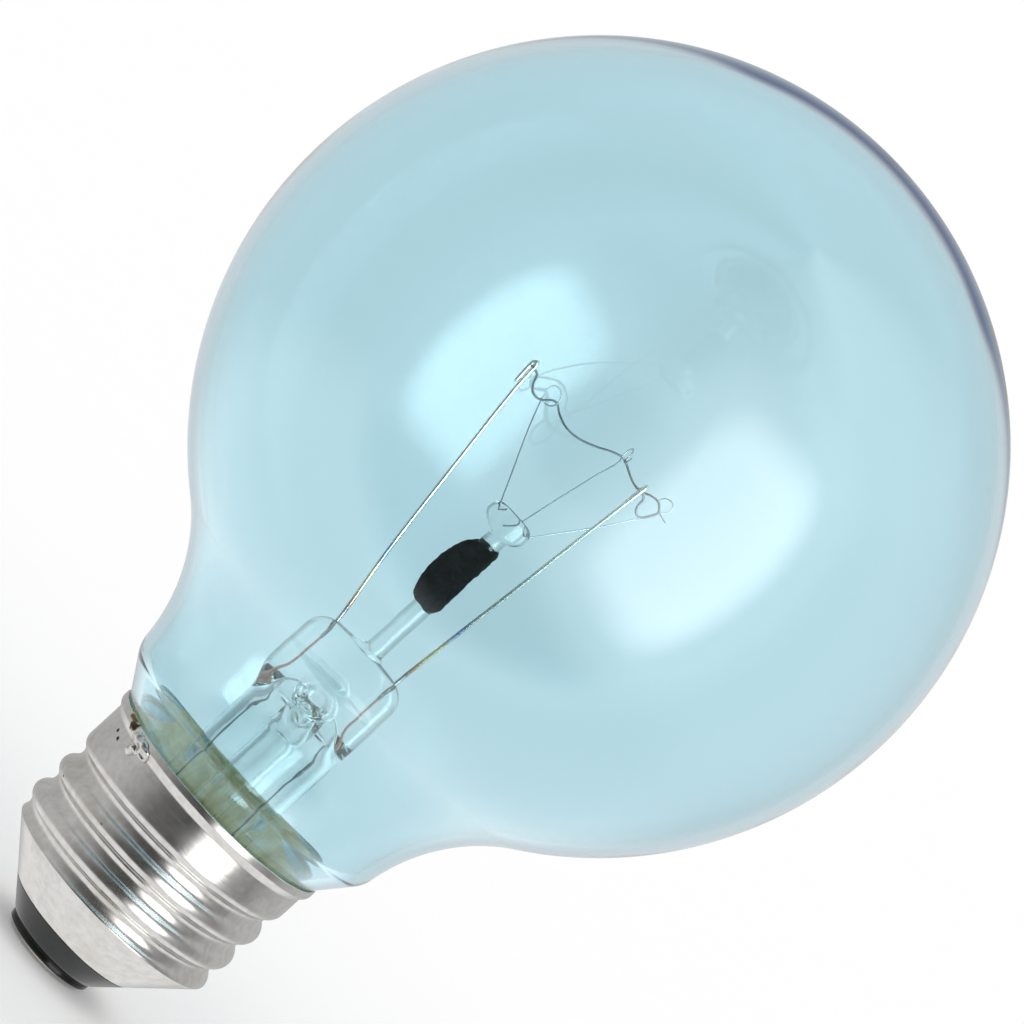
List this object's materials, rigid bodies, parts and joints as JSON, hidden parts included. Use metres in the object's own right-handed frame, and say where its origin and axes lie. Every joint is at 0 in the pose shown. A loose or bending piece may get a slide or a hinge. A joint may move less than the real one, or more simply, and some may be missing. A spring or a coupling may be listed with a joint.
{
  "type": "globe bulb",
  "caption": "Clear glass globe bulb with a wire filament on a glass stem and a right-hand screw base with a centre contact.",
  "frame": {"origin": "lowest point of the centre contact's solder, on the bulb's axis", "axes": "+Z along the bulb's axis from the base to the globe, -Y towards the side that the picture shows"},
  "size_m": [0.08, 0.08, 0.1144],
  "materials": {
    "clear_glass": "clear blown glass, faintly blue-green",
    "stem_glass": "clear pressed glass",
    "getter_black": "matt black with rough ends",
    "lead_nickel": "drawn nickel wire with heat tint",
    "seal_copper": "copper-red wire seen through glass",
    "outer_copper": "thin tinned copper wire",
    "support_grey": "fine grey wire",
    "filament_dark": "coiled dark wire",
    "shell_metal": "satin rolled sheet",
    "insulator_black": "glossy black vitrified glass",
    "contact_metal": "tinned eyelet",
    "solder_grey": "rounded solder",
    "cement_olive": "olive basing cement behind glass"
  },
  "bodies": {
    "root": {"glass_envelope": "clear_glass", "stem_tube": "stem_glass", "exhaust_tube": "stem_glass", "support_cane": "stem_glass", "getter_sleeve": "getter_black", "lead_wire_left": "lead_nickel", "lead_wire_right": "lead_nickel", "seal_wire_left": "seal_copper", "seal_wire_right": "seal_copper", "outer_lead_rim": "outer_copper", "outer_lead_centre": "outer_copper", "filament_support_left": "support_grey", "filament_support_middle": "support_grey", "filament_support_right": "support_grey", "filament": "filament_dark", "screw_shell": "shell_metal", "base_insulator": "insulator_black", "centre_contact": "contact_metal", "centre_solder": "solder_grey", "rim_solder": "solder_grey", "basing_cement": "cement_olive"}
  },
  "joints": []
}
